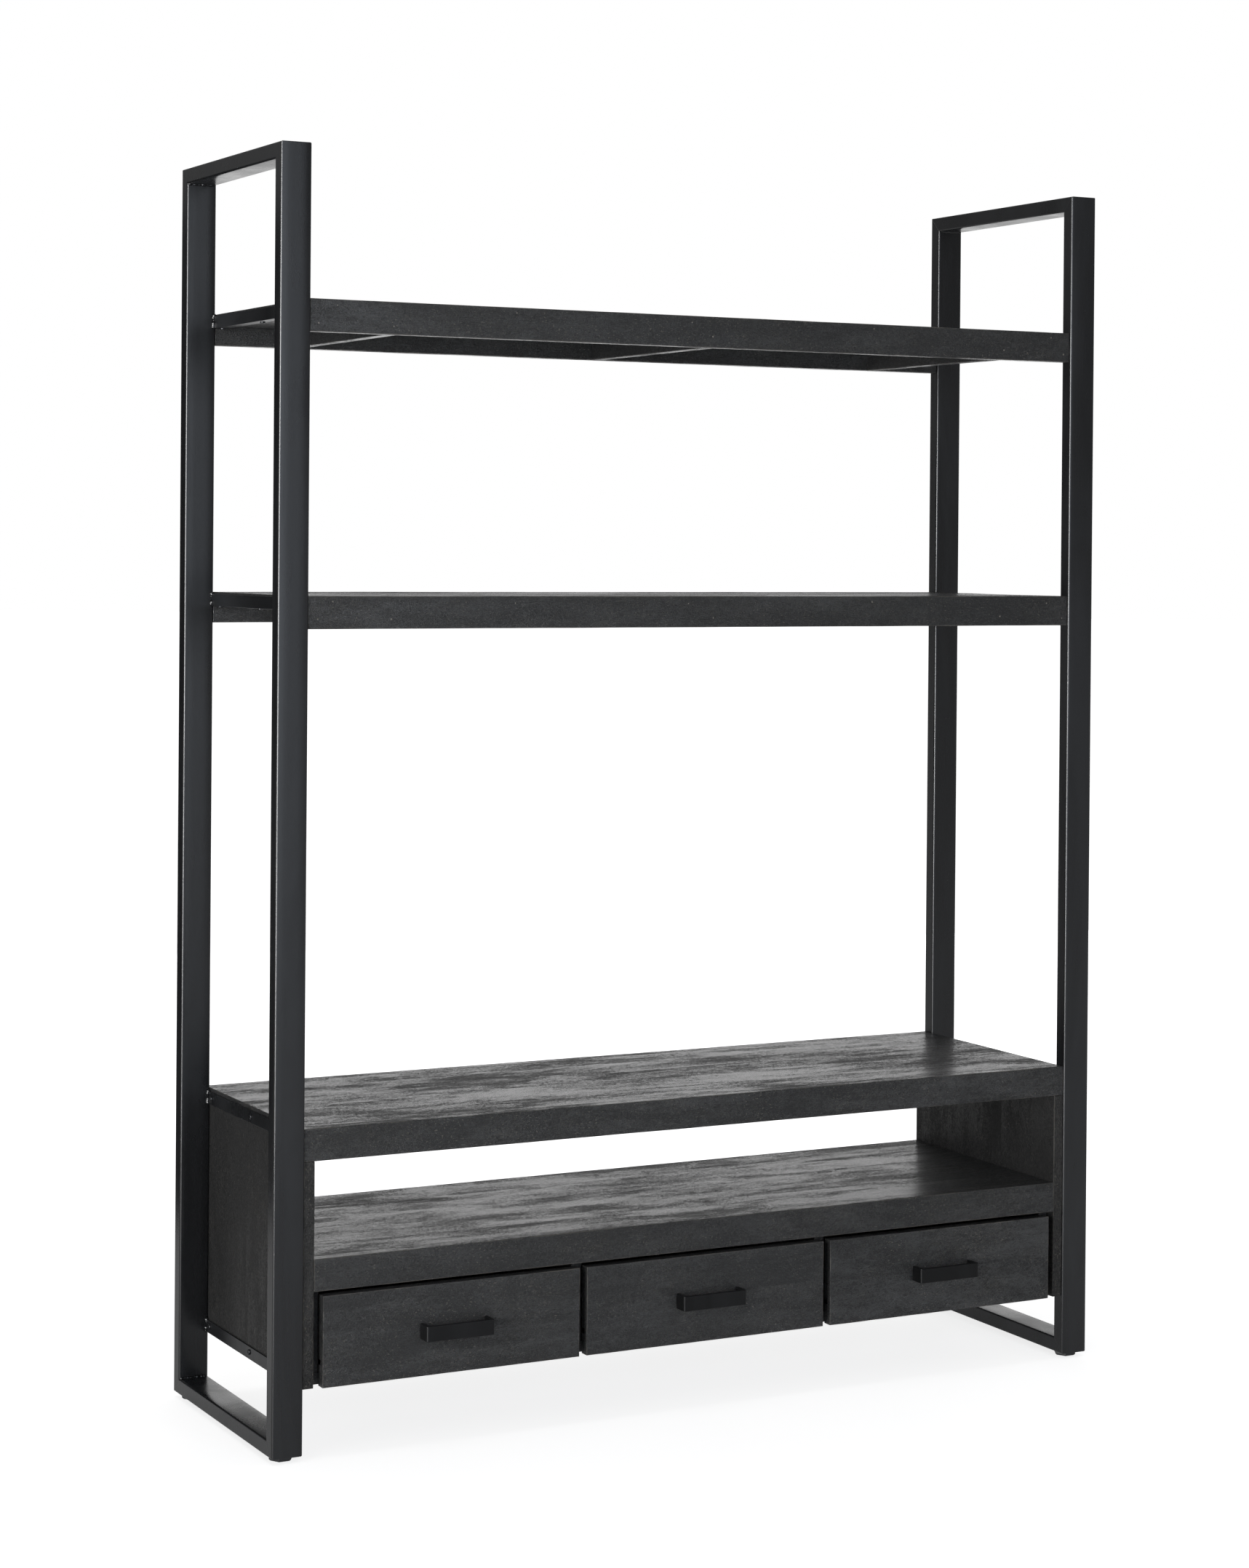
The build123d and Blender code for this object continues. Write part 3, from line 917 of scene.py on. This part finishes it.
# ------------------------------------------------------------------ sub-assemblies
@dataclass
class Fasteners:
    """Pan-head screws with a cross recess."""

    segments: int = 28
    head: float = 2.4 * MM
    shank: float = 0.47
    taper: float = 0.6
    recess: float = 1.1 * MM
    recess_width: float = 0.9 * MM

    def master(self, radius: float, length: float) -> bpy.types.Object:
        """One screw: its head hangs below the origin and its shank runs up.

        Args:
            radius: Radius of the head, of which the shank's is a share.
            length: Length of the shank.

        Returns:
            The screw, to be copied and then deleted.
        """
        head = self.head
        piece = Bench.add(
            "cylinder", vertices=self.segments, radius=radius, depth=head, location=(0, 0, -head / 2)
        )
        with Bench.editing(piece, "EDGE"):
            Bench.pick(piece, "EDGE", lambda e: all(v.co.z < 0 for v in e.verts))
            bpy.ops.mesh.bevel(offset=head * 0.72, segments=5, profile=0.6, affect="EDGES")
            Bench.pick(piece, "FACE", lambda f: f.normal.z > 0.9)
            bpy.ops.mesh.inset(thickness=radius - radius * self.shank)
            Bench.extrude((0, 0, length))
            bpy.ops.transform.resize(value=(self.taper, self.taper, 1.0))
        Bench.settle(piece)
        for turn in (0.0, math.pi / 2):
            cutter = Bench.add("cube", size=1, location=(0, 0, -head), rotation=(0, 0, turn))
            cutter.scale = (radius * 1.05, self.recess_width, self.recess * 2)
            Bench.settle(cutter)
            Bench.modify(piece, "BOOLEAN", operation="DIFFERENCE", object=cutter, solver="EXACT")
            bpy.data.objects.remove(cutter)
        Bench.outwards(piece)
        Bench.smooth(piece, 35.0)
        return piece

    def set_in(self, name: str, node: str, toward: Callable[[Vector], Vector]) -> bpy.types.Object:
        """Copies of one screw at the place of every screw of a CAD node.

        Args:
            name: Name of the new piece.
            node: The CAD node of the screws.
            toward: Says which way the shank of the screw at a place points.

        Returns:
            All the screws as one piece.
        """
        boxes = solids_in(node)
        low, high = boxes[0]
        width, _, length = sorted(high - low)
        master = self.master(width / 2, length - self.head)
        made = []
        for number, (low, high) in enumerate(boxes):
            middle = (low + high) / 2
            way = toward(middle)
            start = middle - way * (length / 2 - self.head)
            twist = Matrix.Rotation(0.7 + number * 1.9, 4, "Z")
            turn = way.to_track_quat("Z", "Y").to_matrix().to_4x4()
            made.append(Bench.copy(master, Matrix.Translation(start) @ turn @ twist))
        bpy.data.objects.remove(master)
        return Bench.joined(name, made)


@dataclass
class WeldBeads:
    """Runs of weld bead, made of small overlapping drops that are melted into one skin."""

    seed: int
    voxel: float = 0.8 * MM
    spacing: float = 0.45

    def lay(self, name: str, runs: list[Run]) -> bpy.types.Object:
        """One piece made of several runs.

        Args:
            name: Name of the piece.
            runs: Start, end and thickness of each run.

        Returns:
            The melted beads.
        """
        dice = random.Random(self.seed)
        drops = []
        for start, end, thick in runs:
            length = (end - start).length
            count = max(2, round(length / (thick * self.spacing)))
            for i in range(count + 1):
                at = start.lerp(end, i / count)
                wobble = Vector([dice.uniform(-0.12, 0.12) * thick for _ in range(3)])
                radius = thick * dice.uniform(0.44, 0.58)
                drops.append(
                    Bench.add("uv_sphere", segments=14, ring_count=8, radius=radius, location=at + wobble)
                )
        piece = Bench.joined(name, drops)
        Bench.settle(piece)
        Bench.modify(piece, "REMESH", mode="VOXEL", voxel_size=self.voxel)
        Bench.modify(piece, "SMOOTH", factor=0.5, iterations=2)
        Bench.smooth(piece, 80.0, weighted=False)
        return piece


@dataclass
class SteelFrame:
    """One welded side frame with its levelling feet."""

    side: str
    bead: float = 5.0 * MM
    glide_bevel: float = 2.5 * MM
    glide_rim: float = 2.2 * MM
    glide_hollow: float = 0.8 * MM
    stem: float = 4.0 * MM
    pitch: float = 1.25 * MM
    root: float = 0.84

    @property
    def sign(self) -> int:
        """-1 for the left frame and 1 for the right one."""
        return -1 if self.side == "left" else 1

    def build(self) -> None:
        """Dresses the tubes and adds the beads in their inner corners and the feet."""
        for tube in ("front_post", "rear_post", "bottom_rail", "top_rail"):
            Finish.FRAME.on(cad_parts[f"{self.side}_{tube}"])
        log.info("%s frame: tubes dressed", self.side)
        self._corner_beads()
        for end in ("front", "rear"):
            self._foot(end)

    def _corner_beads(self) -> None:
        """Weld beads across the four inner corners of the frame."""
        front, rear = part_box(f"{self.side}_front_post")[1].y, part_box(f"{self.side}_rear_post")[0].y
        low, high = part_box(f"{self.side}_bottom_rail"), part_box(f"{self.side}_top_rail")
        inset = self.bead * 0.9
        ends = low[0].x + inset, low[1].x - inset
        runs = [
            (*(Vector((x, y, z)) for x in ends), self.bead)
            for y in (front, rear)
            for z in (low[1].z, high[0].z)
        ]
        piece = WeldBeads(seed=11 + self.sign).lay(f"{self.side}_corner_beads", runs)
        Bench.hand_in(piece, "bookcase", Finish.BEAD, Slot.FRAME)

    def _foot(self, end: str) -> None:
        """A hexagonal glide with bevelled edges, on a threaded stem."""
        node = f"{self.side}_{end}_foot"
        low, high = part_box(node)
        middle = (low + high) / 2
        flats = high.y - low.y
        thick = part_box(f"{self.side}_bottom_rail")[0].z - low.z
        base = Bench.add(
            "cylinder", vertices=6, radius=flats / 2 / math.cos(math.pi / 6), depth=thick,
            location=(middle.x, middle.y, low.z + thick / 2), rotation=(0, 0, math.pi / 2),
        )
        Bench.settle(base)
        with Bench.editing(base, "EDGE"):
            Bench.pick(base, "EDGE", lambda e: all(v.co.z < low.z + MM for v in e.verts))
            bpy.ops.mesh.bevel(offset=self.glide_bevel, segments=1, affect="EDGES")
            Bench.pick(base, "FACE", lambda f: f.normal.z < -0.9)
            bpy.ops.mesh.inset(thickness=self.glide_rim)
            Bench.extrude((0, 0, self.glide_hollow))
        Bench.modify(base, "BEVEL", width=0.7 * MM, segments=2, limit_method="ANGLE")
        stem = self._stem(middle.x, middle.y, low.z + thick, high.z)
        piece = Bench.joined(node.replace("foot", "glide"), [base, stem])
        Bench.smooth(piece, 35.0)
        Bench.hand_in(piece, node, Finish.FOOT, Slot.FOOT, node)

    def _stem(self, x: float, y: float, low: float, high: float) -> bpy.types.Object:
        """The stem, ringed by its thread, from low to high."""
        depth = high - low
        middle = (x, y, (low + high) / 2)
        stem = Bench.add("cylinder", vertices=20, radius=self.stem, depth=depth, location=middle)
        Bench.settle(stem)
        turns = int(depth / self.pitch)
        half = depth / turns / 2
        with Bench.editing(stem, "EDGE"):
            Bench.pick(stem, "EDGE", lambda e: spans(e, Way.UP.value, depth))
            bpy.ops.mesh.subdivide(number_cuts=2 * turns - 1)
            Bench.pick(stem, "VERT", lambda v: round((v.co.z - low) / half) % 2 == 1)
            bpy.ops.transform.resize(value=(self.root, self.root, 1.0), center_override=middle)
        return stem


@dataclass
class Bars:
    """The flat and angle bars between the posts, with their end welds."""

    thickness: float = 3.0 * MM
    ease: float = 0.7 * MM
    step: float = 30 * MM
    bead: float = 7.0 * MM
    bead_below: float = 2.0 * MM
    bead_above: float = 2.5 * MM

    def build(self) -> None:
        """Makes every bar and its welds; the screws that come through them are made with the cabinet."""
        groups = {
            "top_shelf_angles": True,
            "middle_shelf_angles": True,
            "cabinet_lower_angles": True,
            "cabinet_upper_bars": False,
        }
        for node, is_angle in groups.items():
            bars = [self._bar(box, is_angle) for box in solids_in(node)]
            piece = Bench.joined(node.replace("angles", "angle_bars"), bars)
            Bench.hand_in(piece, "bookcase", Finish.BAR, Slot.FRAME, node)
            runs = [run for box in solids_in(node) for run in self._weld_runs(box)]
            beads = WeldBeads(seed=len(node)).lay(f"{node}_welds", runs)
            Bench.hand_in(beads, "bookcase", Finish.BEAD, Slot.FRAME)

    def _bar(self, box: Box, is_angle: bool) -> bpy.types.Object:
        """One bar; an angle bar keeps its upright leg outside and its ledge below."""
        low, high = box
        waste = []
        if is_angle:
            near, far = low.x - MM, high.x - self.thickness
            if low.x < 0:
                near, far = low.x + self.thickness, high.x + MM
            ledge = low.z + self.thickness
            waste.append((Vector((near, low.y, ledge)), Vector((far, high.y, high.z + MM))))
        return Stock("bar", box, Way.BACK, waste, self.ease, 2, self.step, 0.0).make()

    def _weld_runs(self, box: Box) -> list[Run]:
        """The short runs that hold the two ends of a bar to the posts, on its outer face."""
        low, high = box
        x = low.x if low.x < 0 else high.x
        runs = []
        for y in (low.y, high.y):
            for z in (low.z + 0.25 * (high.z - low.z), high.z - self.bead_below):
                start, end = z - self.bead_below, z + self.bead_above
                runs.append((Vector((x, y, start)), Vector((x, y, end)), self.bead))
        return runs


@dataclass
class NailFills:
    """Small filled nail holes on the face of an apron."""

    seed: int
    radius: float = 1.5 * MM
    depth: float = 1.2 * MM
    sunk: float = 0.3 * MM
    ease: float = 0.35 * MM
    drift_x: float = 6.0 * MM
    drift_z: float = 3.0 * MM

    def build(self, name: str, places: list[Vector]) -> bpy.types.Object:
        """Low discs of filler, a hair proud of the wood.

        Args:
            name: Name of the piece.
            places: Where each fill stands, on the apron's front face.

        Returns:
            All the fills as one piece.
        """
        dice = random.Random(self.seed)
        made = []
        for place in places:
            radius = self.radius * dice.uniform(0.7, 1.15)
            x = dice.uniform(-self.drift_x, self.drift_x)
            z = dice.uniform(-self.drift_z, self.drift_z)
            disc = Bench.add(
                "cylinder", vertices=10, radius=radius, depth=self.depth,
                location=place + Vector((x, self.sunk, z)),
                rotation=(math.pi / 2, 0, dice.uniform(0, 1)),
            )
            with Bench.editing(disc, "EDGE"):
                Bench.pick(disc, "FACE", lambda f: f.normal.z > 0.9)
                bpy.ops.mesh.bevel(offset=self.ease, segments=2, affect="EDGES")
            made.append(disc)
        piece = Bench.joined(name, made)
        Bench.settle(piece)
        Bench.smooth(piece, 50.0, weighted=False)
        return piece


@dataclass
class OpenShelf:
    """A shelf: a board between two aprons with ribs below."""

    name: str
    seed: float
    nails: tuple[float, ...] = (0.03, 0.25, 0.47, 0.72, 0.97)
    left_nail: float = 12.0 * MM
    right_nail: float = 14.0 * MM

    def build(self) -> None:
        """Makes the shelf's boards and its nail fills."""
        groups = {
            "board": (Way.ACROSS, 0.0),
            "front_apron": (Way.ACROSS, 0.31),
            "rear_apron": (Way.ACROSS, 0.57),
            "ribs": (Way.BACK, 0.83),
        }
        for part, (way, shift) in groups.items():
            node = f"{self.name}_{part}"
            boards = [
                Board("board", box, way, seed=self.seed + shift + number * 0.13).make()
                for number, box in enumerate(solids_in(node))
            ]
            piece = Bench.joined(f"{node}_wood", boards)
            Bench.hand_in(piece, "bookcase", Finish.WOOD, Slot.WOOD, node)
        self._nails()

    def _nails(self) -> None:
        """Fills over the nails that hold the apron to the board and to the ribs."""
        low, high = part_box(f"{self.name}_front_apron")
        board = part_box(f"{self.name}_board")
        upper = (board[0].z + board[1].z) / 2
        lower = (low.z + board[0].z) / 2
        length = high.x - low.x
        places = [Vector((low.x + length * share, low.y, upper)) for share in self.nails]
        ribs = [(a.x + b.x) / 2 for a, b in solids_in(f"{self.name}_ribs")]
        row = (low.x + self.left_nail, *ribs, high.x - self.right_nail)
        places += [Vector((x, low.y, lower)) for x in row]
        piece = NailFills(seed=round(self.seed * 10)).build(f"{self.name}_nail_fills", places)
        Bench.hand_in(piece, "bookcase", Finish.FILLER, Slot.WOOD)


@dataclass
class Cabinet:
    """The low cabinet: its top, sides, lower shelf and the insides of its drawer bays."""

    seed: float = 4.2
    ease: float = 1.2 * MM
    shelf_ease: float = 0.6 * MM
    back_ease: float = 0.5 * MM
    back_seed: float = 8.8

    def build(self) -> None:
        """Makes the cabinet's boards and dresses its runners."""
        across = (
            "cabinet_top_board", "cabinet_top_front_apron", "cabinet_top_rear_apron",
            "cabinet_left_side", "cabinet_right_side", "lower_shelf_board",
            "lower_shelf_front_apron", "cabinet_floor",
        )
        for number, node in enumerate((*across, "drawer_dividers", "runner_packers")):
            way = Way.ACROSS if node in across else Way.BACK
            self._boards(node, way, self.seed + number * 0.37)
        back = Board(
            "drawer_bay_back_panel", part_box("drawer_bay_back"), Way.ACROSS,
            ease=self.back_ease, seed=self.back_seed,
        )
        Bench.hand_in(back.make(), "bookcase", Finish.BOX_WOOD, Slot.BOX_WOOD, "drawer_bay_back")
        Finish.ZINC.on(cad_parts["cabinet_runners"])
        Finish.ZINC.on(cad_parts["foot_nuts"])
        screws = Fasteners().set_in("bar_screws", "frame_screws", self._screw_way)
        Bench.hand_in(screws, "bookcase", Finish.SCREW, Slot.SCREW, "frame_screws")

    def _boards(self, node: str, way: Way, seed: float) -> None:
        """Makes the boards of one CAD node; the two sides are notched and their grain stands up.

        Args:
            node: Name of the node.
            way: The way that its boards are pushed.
            seed: Where its grain is taken from.
        """
        is_side = node.endswith("_side")
        waste = self._notches(node) if is_side else []
        grain = Way.UP if is_side else way
        ease = self.shelf_ease if node.startswith("lower") else self.ease
        boards = [
            Board("board", box, way, waste, ease, seed=seed + extra * 0.11, grain=grain).make()
            for extra, box in enumerate(solids_in(node))
        ]
        piece = Bench.joined(f"{node}_wood", boards)
        finish = Finish.SIDE_WOOD if is_side else Finish.WOOD
        Bench.hand_in(piece, "bookcase", finish, Slot.WOOD, node)

    @staticmethod
    def _screw_way(place: Vector) -> Vector:
        """Shelf screws point up through a ledge; cabinet screws point inwards through a bar."""
        if place.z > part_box("cabinet_top_board")[1].z:
            return Vector((0, 0, 1))
        return Vector((-math.copysign(1, place.x), 0, 0))

    @staticmethod
    def _notches(node: str) -> list[Box]:
        """The corners of a side that make room for the aprons of the top board."""
        low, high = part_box(node)
        front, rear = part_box("cabinet_top_front_apron"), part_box("cabinet_top_rear_apron")
        past = 5 * MM
        return [
            (Vector((low.x, low.y - past, front[0].z)), Vector((high.x, front[1].y, high.z + past))),
            (Vector((low.x, rear[0].y, rear[0].z)), Vector((high.x, high.y + past, high.z + past))),
        ]


@dataclass
class Drawer:
    """One drawer with its bent handle."""

    name: str
    seed: float
    slack: float = 0.2 * MM
    front_ease: float = 1.6 * MM
    side_ease: float = 0.8 * MM
    panel_ease: float = 0.6 * MM
    handle_bar: float = 6.0 * MM
    handle_ease: float = 0.9 * MM

    @property
    def body(self) -> str:
        """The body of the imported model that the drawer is."""
        return f"{self.name}_drawer"

    def build(self) -> None:
        """Makes the boards, the handle and its screws, and dresses the runners."""
        self._front()
        self._box()
        self._handle()
        Finish.ZINC.on(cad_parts[f"{self.body}_runners"])
        node = f"{self.body}_handle_screws"
        screws = Fasteners().set_in(f"{self.name}_handle_screws", node, lambda place: Vector((0, -1, 0)))
        Bench.hand_in(screws, self.body, Finish.SCREW, Slot.SCREW, node)

    def _groove(self) -> tuple[float, float, float]:
        """Depth of the front's groove as a place in Y, and its lower and upper limits."""
        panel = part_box(f"{self.body}_bottom")
        return panel[0].y - self.slack, panel[0].z, panel[1].z + self.slack

    def _front(self) -> None:
        """The front board, with the groove for the bottom panel open at its two ends."""
        node = f"{self.body}_front"
        low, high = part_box(node)
        y, bottom, top = self._groove()
        groove = (Vector((low.x, y, bottom)), Vector((high.x, high.y + MM, top)))
        board = Board(
            f"{self.name}_drawer_face", (low, high), Way.ACROSS, [groove],
            ease=self.front_ease, step=9 * MM, wave=0.7 * MM, wave_length=50 * MM, seed=self.seed,
        )
        Bench.hand_in(board.make(), self.body, Finish.WOOD, Slot.WOOD, node)

    def _box(self) -> None:
        """The two sides, the back and the bottom panel."""
        _, bottom, top = self._groove()
        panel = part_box(f"{self.body}_bottom")
        sides = []
        for number, (low, high) in enumerate(solids_in(f"{self.body}_sides")):
            start, end = low.x - MM, panel[1].x + self.slack
            if number == 0:
                start, end = panel[0].x - self.slack, high.x + MM
            groove = (Vector((start, low.y, bottom)), Vector((end, high.y, top)))
            seed = self.seed + 0.2 + number
            side = Board("side", (low, high), Way.BACK, [groove], self.side_ease, seed=seed)
            sides.append(side.make())
        piece = Bench.joined(f"{self.name}_drawer_box_sides", sides)
        Bench.hand_in(piece, self.body, Finish.BOX_WOOD, Slot.BOX_WOOD, f"{self.body}_sides")
        for part, shift in (("back", 0.5), ("bottom", 0.9)):
            node = f"{self.body}_{part}"
            board = Board(
                f"{self.name}_drawer_box_{part}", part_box(node), Way.ACROSS,
                ease=self.panel_ease, wave=0.2 * MM, seed=self.seed + shift,
            )
            Bench.hand_in(board.make(), self.body, Finish.BOX_WOOD, Slot.BOX_WOOD, node)

    def _handle(self) -> None:
        """A flat strap bent into a U."""
        node = f"{self.body}_handle"
        low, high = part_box(node)
        bar = self.handle_bar
        gap = (Vector((low.x + bar, low.y + bar, low.z)), Vector((high.x - bar, high.y + MM, high.z)))
        name = f"{self.name}_strap_handle"
        strap = Strap(name, (low, high), Way.UP, [gap], self.handle_ease, step=0.0, wave=0.0)
        Bench.hand_in(strap.make(), self.body, Finish.HANDLE, Slot.HANDLE, node)


# ------------------------------------------------------------------ studio
@dataclass(frozen=True)
class Softbox:
    """A soft rectangular lamp that faces the bookcase."""

    name: str
    place: tuple[float, float, float]
    size: tuple[float, float]
    radiance: float
    tint: Colour = (1.0, 1.0, 1.0)
    sheen_only: bool = False
    aim: tuple[float, float, float] = (0.0, 0.0, 1.0)

    def light(self) -> None:
        """Hangs the lamp."""
        data = bpy.data.lights.new(self.name, "AREA")
        data.shape = "RECTANGLE"
        data.size, data.size_y = self.size
        data.energy = self.radiance * math.pi * self.size[0] * self.size[1]
        data.color = self.tint
        lamp = bpy.data.objects.new(self.name, data)
        lamp.location = self.place
        away = Vector(self.place) - Vector(self.aim)
        lamp.rotation_mode = "QUATERNION"
        lamp.rotation_quaternion = away.to_track_quat("Z", "Y")
        lamp.visible_camera = False
        lamp.visible_diffuse = not self.sheen_only
        bpy.context.collection.objects.link(lamp)


@dataclass
class Studio:
    """Floor, surroundings, lamps and camera."""

    surround: float = 0.22
    floor_size: float = 60.0
    floor_drop: float = 0.5 * MM
    floor_tone: float = 0.78
    fade: tuple[float, float] = (0.9, 2.2)
    flag_place: tuple[float, float, float] = (-1.15, 1.25, 1.05)
    flag_size: tuple[float, float, float] = (1.6, 2.0, 1.0)
    flag_turn: float = 22.0
    lens: float = 72.8
    sensor: float = 36.0
    place: tuple[float, float, float] = (-2.500, -4.683, 1.392)
    yaw: float = 27.58
    pitch: float = -0.377
    roll: float = 0.46
    rise: float = -0.138
    lamps: tuple[Softbox, ...] = (
        Softbox("backdrop glow", (2.3, 5.2, 1.3), (5.6, 2.6), 0.86, aim=(1.2, 0.0, 1.0)),
        Softbox("front softbox", (-0.15, -6.5, 1.9), (3.7, 3.2), 1.8, (0.90, 0.98, 1.10)),
        Softbox("front left glow", (-2.9, -4.9, 1.4), (1.3, 2.6), 5.0, (0.85, 0.95, 1.1), True),
        Softbox("left edge light", (-4.4, -2.3, 1.35), (2.2, 2.8), 26.0, sheen_only=True),
        Softbox("overhead", (0.0, 0.2, 4.2), (3.4, 2.2), 1.1, aim=(0.0, 0.0, 0.0)),
    )

    def build(self) -> None:
        """Sets up the whole studio."""
        bpy.context.scene.view_settings.view_transform = "Standard"
        self._floor()
        self._flag()
        self._world()
        for lamp in self.lamps:
            lamp.light()
        self._camera()
        log.info("studio: %d lamps", len(self.lamps))

    def _floor(self) -> None:
        """A plain pale floor, which looks whiter than the light that it gives back."""
        floor = Bench.add(
            "circle", vertices=64, radius=self.floor_size, location=(0, 0, -self.floor_drop),
            fill_type="NGON",
        )
        floor.name = "floor"
        s = Shader("pale floor")
        place = s.object_place()
        cloudy = s.noise(place, 3.0, 3.0).ramp(0.3, 0.7)
        look = s.mix(s.length(place).ramp(*self.fade), grey(self.floor_tone), grey(1.0))
        seen = Wire(s, s.node("ShaderNodeLightPath").outputs["Is Camera Ray"])
        s.feed(
            Base_Color=s.mix(cloudy, grey(self.floor_tone), grey(self.floor_tone + 0.02)),
            Roughness=0.8,
            Emission_Color=s.mix(seen, grey(self.surround), look),
            Emission_Strength=1.0,
        )
        floor.data.materials.append(s.material)

    def _flag(self) -> None:
        """A black card behind and to the left, which only reflections see."""
        turn = (math.pi / 2, 0, math.radians(self.flag_turn))
        flag = Bench.add("plane", size=1, location=self.flag_place, rotation=turn)
        flag.name = "black_flag"
        flag.scale = self.flag_size
        s = Shader("black flock")
        flock = s.noise(s.object_place(), 200.0)
        s.feed(Base_Color=s.mix(flock, grey(0.01), grey(0.02)), Roughness=0.95)
        flag.data.materials.append(s.material)
        for ray in ("camera", "diffuse", "transmission", "volume_scatter", "shadow"):
            setattr(flag, f"visible_{ray}", False)

    def _world(self) -> None:
        """White to look at, and a dimmer even grey as light."""
        world = bpy.data.worlds.new("studio")
        bpy.context.scene.world = world
        world.use_nodes = True
        nodes, links = world.node_tree.nodes, world.node_tree.links
        nodes.clear()
        output = nodes.new("ShaderNodeOutputWorld")
        mix = nodes.new("ShaderNodeMixShader")
        seen = nodes.new("ShaderNodeLightPath")
        for number, strength in ((1, self.surround), (2, 1.0)):
            backdrop = nodes.new("ShaderNodeBackground")
            backdrop.inputs["Strength"].default_value = strength
            backdrop.inputs["Color"].default_value = (1, 1, 1, 1)
            links.new(backdrop.outputs[0], mix.inputs[number])
        links.new(seen.outputs["Is Camera Ray"], mix.inputs[0])
        links.new(mix.outputs[0], output.inputs[0])

    def _camera(self) -> None:
        """A long lens at eye height, in front and to the left."""
        yaw, pitch, roll = (math.radians(v) for v in (self.yaw, self.pitch, self.roll))
        reach = math.cos(pitch)
        forward = Vector((math.sin(yaw) * reach, math.cos(yaw) * reach, math.sin(pitch)))
        level = Vector((math.cos(yaw), -math.sin(yaw), 0))
        upright = level.cross(forward)
        right = math.cos(roll) * level + math.sin(roll) * upright
        up = right.cross(forward)
        data = bpy.data.cameras.new("camera")
        data.lens = self.lens
        data.sensor_width = self.sensor
        data.shift_y = self.rise
        camera = bpy.data.objects.new("camera", data)
        turn = Matrix((right, up, -forward)).transposed().to_4x4()
        camera.matrix_world = Matrix.Translation(self.place) @ turn
        bpy.context.collection.objects.link(camera)
        bpy.context.scene.camera = camera


def main() -> None:
    """Builds the bookcase in order, then the studio."""
    logging.basicConfig(level=logging.INFO, format="%(name)s: %(message)s")
    for side in ("left", "right"):
        SteelFrame(side).build()
    Bars().build()
    OpenShelf("top_shelf", 1.4).build()
    OpenShelf("middle_shelf", 2.9).build()
    Cabinet().build()
    for name, seed in (("left", 11.3), ("middle", 13.8), ("right", 16.1)):
        Drawer(name, seed).build()
    Studio().build()


if __name__ == "__main__":
    main()
